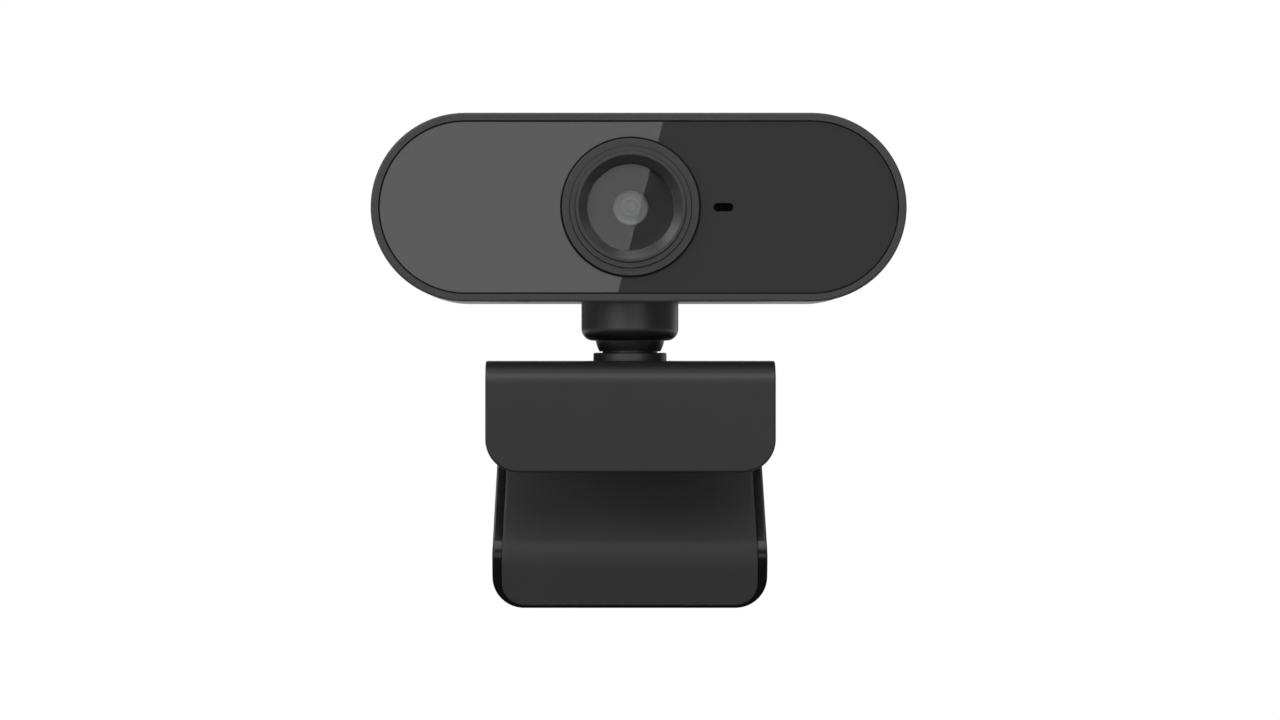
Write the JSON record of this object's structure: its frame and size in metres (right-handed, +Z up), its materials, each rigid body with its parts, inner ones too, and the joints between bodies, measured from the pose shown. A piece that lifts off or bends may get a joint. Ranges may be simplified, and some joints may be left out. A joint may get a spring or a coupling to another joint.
{
  "type": "webcam on monitor clip",
  "caption": "Clip-on webcam: a wide capsule head with a glossy front panel and stepped lens ring, on a ball neck over a folding screen clip.",
  "frame": {"origin": "centre line of the neck, on the soft underside of the clip's top plate, where it rests on a screen's top edge", "axes": "+Z up, +X to the right of someone who faces the lens, -Y is the way the lens looks"},
  "size_m": [0.08, 0.0325, 0.0751],
  "materials": {
    "housing_plastic": "fine-grain moulded ABS, satin black",
    "panel_gloss": "polished smoke-black acrylic",
    "adhesive_tape": "black foam adhesive sheet",
    "screw_steel": "zinc-plated steel",
    "grommet_rubber": "soft matt rubber",
    "trim_plastic": "satin black moulding, turned steps",
    "cover_glass": "clear flat glass",
    "mask_black": "printed black mask",
    "barrel_black": "black anodised aluminium",
    "optical_glass": "coated optical glass",
    "holder_plastic": "glass-filled nylon, black",
    "filter_glass": "coated filter glass",
    "sensor_ceramic": "sensor package",
    "board_laminate": "glass-epoxy laminate under green resist",
    "chip_resin": "moulded epoxy",
    "component_ceramic": "ceramic capacitors and a crystal can",
    "header_nylon": "natural nylon",
    "microphone_can": "plated steel can",
    "retainer_nylon": "black nylon",
    "seat_acetal": "natural acetal",
    "stud_nylon": "satin black nylon",
    "clip_plastic": "fine-grain moulded ABS, satin black",
    "leg_gloss": "glossy black moulding",
    "pad_rubber": "matt dark-grey silicone"
  },
  "bodies": {
    "clip": {"clip_bracket": "clip_plastic", "top_pad": "pad_rubber", "lip_pad": "pad_rubber", "hinge_pin": "screw_steel"},
    "leg": {"clip_leg": "leg_gloss", "leg_pad": "pad_rubber"},
    "swivel": {"ball_stud": "stud_nylon", "swivel_washer": "screw_steel", "stud_screw": "screw_steel"},
    "seat": {"ball_seat": "seat_acetal"},
    "head": {"front_frame": "housing_plastic", "rear_housing": "housing_plastic", "neck_cup": "housing_plastic", "front_panel": "panel_gloss", "panel_tape": "adhesive_tape", "housing_screws": "screw_steel", "lens_holder_screws": "screw_steel", "board_screws": "screw_steel", "retainer_screws": "screw_steel", "cable_grommet": "grommet_rubber", "mic_gasket": "grommet_rubber", "lens_trim_ring": "trim_plastic", "lens_cover_glass": "cover_glass", "lens_mask": "mask_black", "lens_barrel": "barrel_black", "front_lens_element": "optical_glass", "rear_lens_element": "optical_glass", "lens_holder": "holder_plastic", "infrared_filter": "filter_glass", "image_sensor": "sensor_ceramic", "main_board": "board_laminate", "usb_controller_chip": "chip_resin", "board_parts": "component_ceramic", "usb_header": "header_nylon", "microphone": "microphone_can", "neck_retainer": "retainer_nylon"}
  },
  "joints": [
    {"name": "head_pan", "type": "hinge", "parent": "clip", "child": "swivel", "pos_m": [0, 0, 0.0046], "axis": [0, 0, 1], "continuous": true},
    {"name": "head_tilt", "type": "hinge", "parent": "swivel", "child": "seat", "pos_m": [0, 0, 0.00866], "axis": [1, 0, 0], "range_deg": [-15, 15]},
    {"name": "head_roll", "type": "hinge", "parent": "seat", "child": "head", "pos_m": [0, 0, 0.00866], "axis": [0, 1, 0], "range_deg": [-8, 8]},
    {"name": "leg_fold", "type": "hinge", "parent": "clip", "child": "leg", "pos_m": [0, 0.0155, 0.0017], "axis": [1, 0, 0], "range_deg": [-20, 116]}
  ]
}
